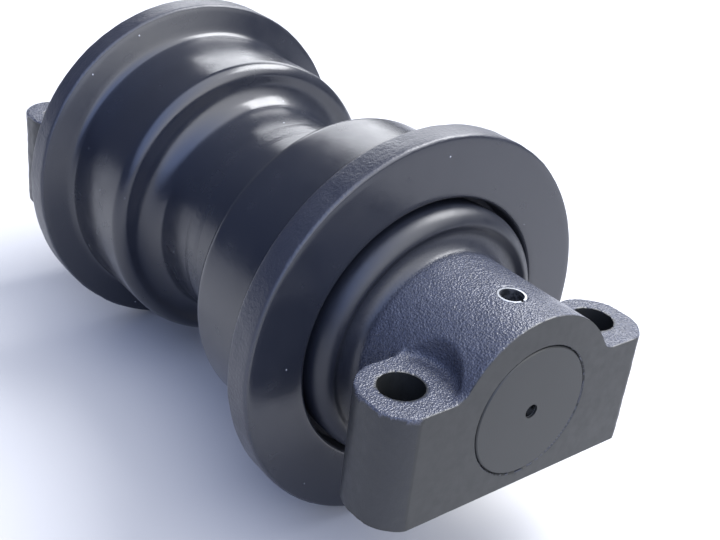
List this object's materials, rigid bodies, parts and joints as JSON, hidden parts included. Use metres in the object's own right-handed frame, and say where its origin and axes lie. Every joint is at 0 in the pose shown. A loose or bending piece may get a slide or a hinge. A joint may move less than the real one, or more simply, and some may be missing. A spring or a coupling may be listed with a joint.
{
  "type": "track roller",
  "caption": "Double-flange bottom track roller that spins on a fixed shaft between bolt-on end collars with flat mounting faces.",
  "frame": {"origin": "centre of the roller, on its spin axis", "axes": "+Y along the spin axis; +Z away from the two mounting faces, which face -Z; +X across the bolt pairs"},
  "size_m": [0.188, 0.356, 0.188],
  "materials": {
    "shaft": "ground steel, its ends under thin satin dark grey paint",
    "shell": "semi-gloss blue-black paint over turned forged steel",
    "weld_bead": "semi-gloss blue-black paint over dressed weld metal",
    "bush": "satin bronze lining on steel",
    "collar": "satin dark grey paint over cast steel, rough as cast except its machined faces",
    "seal_metal": "cast alloy, lapped on its sealing face",
    "rubber": "matt black nitrile rubber",
    "lock_pin": "blackened spring steel",
    "oil_plug": "plated steel",
    "plug_washer": "soft copper"
  },
  "bodies": {
    "axle": {"shaft": "shaft", "collar_left": "collar", "collar_right": "collar", "seal_ring_fixed_left": "seal_metal", "seal_ring_fixed_right": "seal_metal", "rubber_ring_fixed_left": "rubber", "rubber_ring_fixed_right": "rubber", "shaft_oring_left": "rubber", "shaft_oring_right": "rubber", "lock_pin_left": "lock_pin", "lock_pin_right": "lock_pin", "oil_plug": "oil_plug", "plug_washer": "plug_washer"},
    "roller": {"shell_left": "shell", "shell_right": "shell", "weld_bead": "weld_bead", "bush_left": "bush", "bush_right": "bush", "seal_ring_turning_left": "seal_metal", "seal_ring_turning_right": "seal_metal", "rubber_ring_turning_left": "rubber", "rubber_ring_turning_right": "rubber"}
  },
  "joints": [
    {"name": "roller_spin", "type": "hinge", "parent": "axle", "child": "roller", "pos_m": [0, 0, 0], "axis": [0, 1, 0], "continuous": true}
  ]
}
